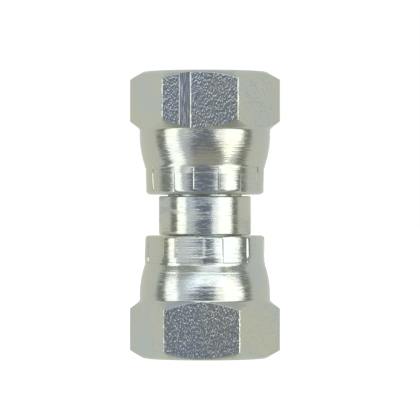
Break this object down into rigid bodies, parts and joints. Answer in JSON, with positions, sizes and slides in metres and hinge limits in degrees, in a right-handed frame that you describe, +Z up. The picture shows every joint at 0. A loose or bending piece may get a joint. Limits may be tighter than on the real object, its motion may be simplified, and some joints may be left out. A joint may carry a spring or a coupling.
{
  "type": "straight hydraulic connector",
  "caption": "Straight hydraulic connector of zinc-plated steel: a turned body with a crimped swivel hexagon nut on each end, for quarter-inch parallel threads with a cone seat.",
  "frame": {"origin": "centre of the lower nut's end face, on the fitting's axis", "axes": "+Z up along the axis from the lower nut to the upper one; the viewer of the picture stands at -Y, with +X to the right"},
  "size_m": [0.0218, 0.0198, 0.0415],
  "materials": {
    "nut_zinc": "zinc plated, clear passivated, turned and drawn",
    "body_zinc": "zinc plated, clear passivated, turned"
  },
  "bodies": {
    "body": {"connector_body": "body_zinc"},
    "lower_nut": {"lower_swivel_nut": "nut_zinc"},
    "upper_nut": {"upper_swivel_nut": "nut_zinc"}
  },
  "joints": [
    {"name": "lower_nut_swivel", "type": "hinge", "parent": "body", "child": "lower_nut", "pos_m": [0, 0, 0.0145], "axis": [0, 0, 1], "continuous": true},
    {"name": "upper_nut_swivel", "type": "hinge", "parent": "body", "child": "upper_nut", "pos_m": [0, 0, 0.0269], "axis": [0, 0, 1], "continuous": true}
  ]
}
